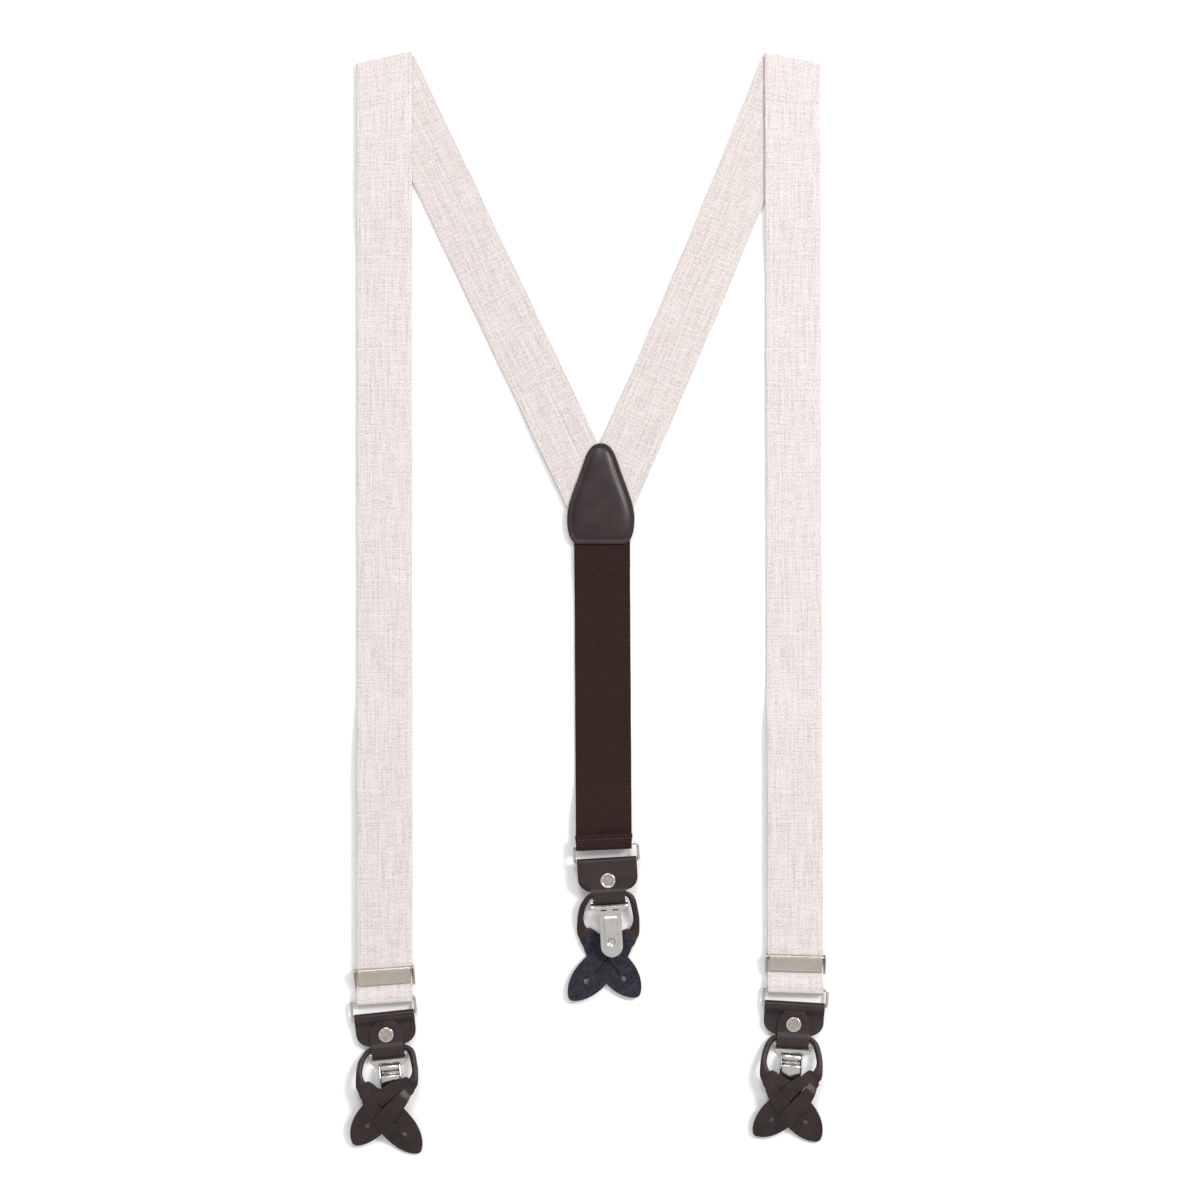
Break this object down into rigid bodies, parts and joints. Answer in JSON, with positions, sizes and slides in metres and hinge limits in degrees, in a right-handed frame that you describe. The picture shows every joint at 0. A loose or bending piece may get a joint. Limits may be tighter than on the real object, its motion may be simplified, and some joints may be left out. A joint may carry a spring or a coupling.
{
  "type": "suspenders",
  "caption": "Y-back suspenders laid flat: fabric straps, leather crosspatch, rear elastic, and ends with a ring, a leather button loop and a lever clip.",
  "frame": {"origin": "centre of the bounding box, on the surface the suspenders lie on", "axes": "+Y from the clip ends towards the shoulder folds, +X to the right as laid out, +Z away from the surface"},
  "size_m": [0.3016, 0.6914, 0.0122],
  "materials": {
    "linen": "woven linen over webbing",
    "elastic": "ribbed elastic webbing",
    "leather": "smooth, dark brown",
    "felt": "felt",
    "nickel": "polished nickel plate",
    "pad": "moulded"
  },
  "bodies": {
    "straps": {"left_front_strap": "linen", "left_back_strap": "linen", "right_front_strap": "linen", "right_back_strap": "linen", "crosspatch_outer": "leather", "crosspatch_inner": "leather", "rear_elastic": "elastic"},
    "left_strap_loop": {"left_strap_tail": "linen"},
    "left_adjuster": {"left_adjuster_frame": "nickel", "left_adjuster_pin": "nickel"},
    "left_adjuster_lever": {"left_adjuster_lever": "nickel"},
    "right_strap_loop": {"right_strap_tail": "linen"},
    "right_adjuster": {"right_adjuster_frame": "nickel", "right_adjuster_pin": "nickel"},
    "right_adjuster_lever": {"right_adjuster_lever": "nickel"},
    "rear_elastic_end": {"rear_elastic_fold": "elastic"},
    "left_ring": {"left_ring": "nickel"},
    "left_holder": {"left_holder": "leather", "left_rivet_cap": "nickel", "left_rivet_post": "nickel"},
    "left_button_loop": {"left_button_loop": "leather", "left_tab_felt": "felt"},
    "left_clip": {"left_clip_body": "nickel", "left_jaw_pin": "nickel", "left_lever_pin": "nickel", "left_pad_lower": "pad"},
    "left_jaw": {"left_clip_jaw": "nickel", "left_pad_upper": "pad"},
    "left_clip_lever": {"left_clip_lever": "nickel"},
    "right_ring": {"right_ring": "nickel"},
    "right_holder": {"right_holder": "leather", "right_rivet_cap": "nickel", "right_rivet_post": "nickel"},
    "right_button_loop": {"right_button_loop": "leather", "right_tab_felt": "felt"},
    "right_clip": {"right_clip_body": "nickel", "right_jaw_pin": "nickel", "right_lever_pin": "nickel", "right_pad_lower": "pad"},
    "right_jaw": {"right_clip_jaw": "nickel", "right_pad_upper": "pad"},
    "right_clip_lever": {"right_clip_lever": "nickel"},
    "rear_ring": {"rear_ring": "nickel"},
    "rear_holder": {"rear_holder": "leather", "rear_rivet_cap": "nickel", "rear_rivet_post": "nickel"},
    "rear_button_loop": {"rear_button_loop": "leather", "rear_tab_felt": "felt"},
    "rear_clip": {"rear_clip_body": "nickel", "rear_jaw_pin": "nickel", "rear_lever_pin": "nickel", "rear_pad_lower": "pad"},
    "rear_jaw": {"rear_clip_jaw": "nickel", "rear_pad_upper": "pad"},
    "rear_clip_lever": {"rear_clip_lever": "nickel"}
  },
  "joints": [
    {"name": "left_length_slide", "type": "slide", "parent": "straps", "child": "left_strap_loop", "axis": [0, 1, 0], "range_m": [0, 0.12], "deforming": ["left_front_strap"]},
    {"name": "left_adjuster_slide", "type": "slide", "parent": "left_strap_loop", "child": "left_adjuster", "axis": [0, 1, 0], "range_m": [0, 0.12], "deforming": ["left_strap_tail"]},
    {"name": "left_adjuster_lever", "type": "hinge", "parent": "left_adjuster", "child": "left_adjuster_lever", "pos_m": [-0.129, -0.23264, 0.0062], "axis": [-0.9973, -0.0732, 0], "range_deg": [0, 100]},
    {"name": "right_length_slide", "type": "slide", "parent": "straps", "child": "right_strap_loop", "axis": [0, 1, 0], "range_m": [0, 0.12], "deforming": ["right_front_strap"]},
    {"name": "right_adjuster_slide", "type": "slide", "parent": "right_strap_loop", "child": "right_adjuster", "axis": [0, 1, 0], "range_m": [0, 0.12], "deforming": ["right_strap_tail"]},
    {"name": "right_adjuster_lever", "type": "hinge", "parent": "right_adjuster", "child": "right_adjuster_lever", "pos_m": [0.12986, -0.22452, 0.0062], "axis": [-0.9996, 0.0279, 0], "range_deg": [0, 100]},
    {"name": "rear_elastic_stretch", "type": "slide", "parent": "straps", "child": "rear_elastic_end", "axis": [0, -1, 0], "range_m": [0, 0.06], "stiffness_N_per_m": 200, "deforming": ["rear_elastic"]},
    {"name": "left_ring_swing", "type": "hinge", "parent": "left_strap_loop", "child": "left_ring", "pos_m": [-0.13006, -0.25122, 0.0033], "axis": [-0.9945, -0.1045, 0], "range_deg": [0, 50]},
    {"name": "left_holder_swing", "type": "hinge", "parent": "left_ring", "child": "left_holder", "pos_m": [-0.12898, -0.26157, 0.0033], "axis": [-0.9945, -0.1045, 0], "range_deg": [0, 60]},
    {"name": "left_loop_swing", "type": "hinge", "parent": "left_holder", "child": "left_button_loop", "pos_m": [-0.1268, -0.28225, 0.00325], "axis": [-0.9945, -0.1045, 0], "range_deg": [0, 60]},
    {"name": "left_clip_swing", "type": "hinge", "parent": "left_holder", "child": "left_clip", "pos_m": [-0.12643, -0.28583, 0.00325], "axis": [0.9945, 0.1045, 0], "range_deg": [0, 60]},
    {"name": "left_clip_lever", "type": "hinge", "parent": "left_clip", "child": "left_clip_lever", "pos_m": [-0.12498, -0.29956, 0.0061], "axis": [-0.9945, -0.1045, 0], "range_deg": [0, 120]},
    {"name": "left_clip_jaw", "type": "hinge", "parent": "left_clip", "child": "left_jaw", "pos_m": [-0.12555, -0.29419, 0.0041], "axis": [-0.9945, -0.1045, 0], "range_deg": [0, 5.5]},
    {"name": "right_ring_swing", "type": "hinge", "parent": "right_strap_loop", "child": "right_ring", "pos_m": [0.12993, -0.24472, 0.0033], "axis": [-0.9981, 0.061, 0], "range_deg": [0, 50]},
    {"name": "right_holder_swing", "type": "hinge", "parent": "right_ring", "child": "right_holder", "pos_m": [0.12929, -0.2551, 0.0033], "axis": [-0.9981, 0.061, 0], "range_deg": [0, 60]},
    {"name": "right_loop_swing", "type": "hinge", "parent": "right_holder", "child": "right_button_loop", "pos_m": [0.12802, -0.27586, 0.00325], "axis": [-0.9981, 0.061, 0], "range_deg": [0, 60]},
    {"name": "right_clip_swing", "type": "hinge", "parent": "right_holder", "child": "right_clip", "pos_m": [0.1278, -0.27945, 0.00325], "axis": [0.9981, -0.061, 0], "range_deg": [0, 60]},
    {"name": "right_clip_lever", "type": "hinge", "parent": "right_clip", "child": "right_clip_lever", "pos_m": [0.12696, -0.29323, 0.0061], "axis": [-0.9981, 0.061, 0], "range_deg": [0, 120]},
    {"name": "right_clip_jaw", "type": "hinge", "parent": "right_clip", "child": "right_jaw", "pos_m": [0.12729, -0.28784, 0.0041], "axis": [-0.9981, 0.061, 0], "range_deg": [0, 5.5]},
    {"name": "rear_ring_swing", "type": "hinge", "parent": "rear_elastic_end", "child": "rear_ring", "pos_m": [0.01039, -0.15389, 0.0073], "axis": [-0.9981, -0.061, 0], "range_deg": [0, 50]},
    {"name": "rear_holder_swing", "type": "hinge", "parent": "rear_ring", "child": "rear_holder", "pos_m": [0.01103, -0.16428, 0.0073], "axis": [-0.9981, -0.061, 0], "range_deg": [0, 60]},
    {"name": "rear_loop_swing", "type": "hinge", "parent": "rear_holder", "child": "rear_button_loop", "pos_m": [0.0123, -0.18504, 0.00735], "axis": [0.9981, 0.061, 0], "range_deg": [0, 60]},
    {"name": "rear_clip_swing", "type": "hinge", "parent": "rear_holder", "child": "rear_clip", "pos_m": [0.01252, -0.18863, 0.00735], "axis": [-0.9981, -0.061, 0], "range_deg": [0, 60]},
    {"name": "rear_clip_lever", "type": "hinge", "parent": "rear_clip", "child": "rear_clip_lever", "pos_m": [0.01336, -0.2024, 0.0045], "axis": [0.9981, 0.061, 0], "range_deg": [0, 120]},
    {"name": "rear_clip_jaw", "type": "hinge", "parent": "rear_clip", "child": "rear_jaw", "pos_m": [0.01303, -0.19701, 0.0065], "axis": [0.9981, 0.061, 0], "range_deg": [0, 5.5]}
  ],
  "couplings": [
    {"joint": "left_adjuster_slide", "follows": "left_length_slide", "ratio": 1},
    {"joint": "right_adjuster_slide", "follows": "right_length_slide", "ratio": 1},
    {"joint": "left_clip_jaw", "follows": "left_clip_lever", "ratio": 0.045833},
    {"joint": "right_clip_jaw", "follows": "right_clip_lever", "ratio": 0.045833},
    {"joint": "rear_clip_jaw", "follows": "rear_clip_lever", "ratio": 0.045833}
  ]
}
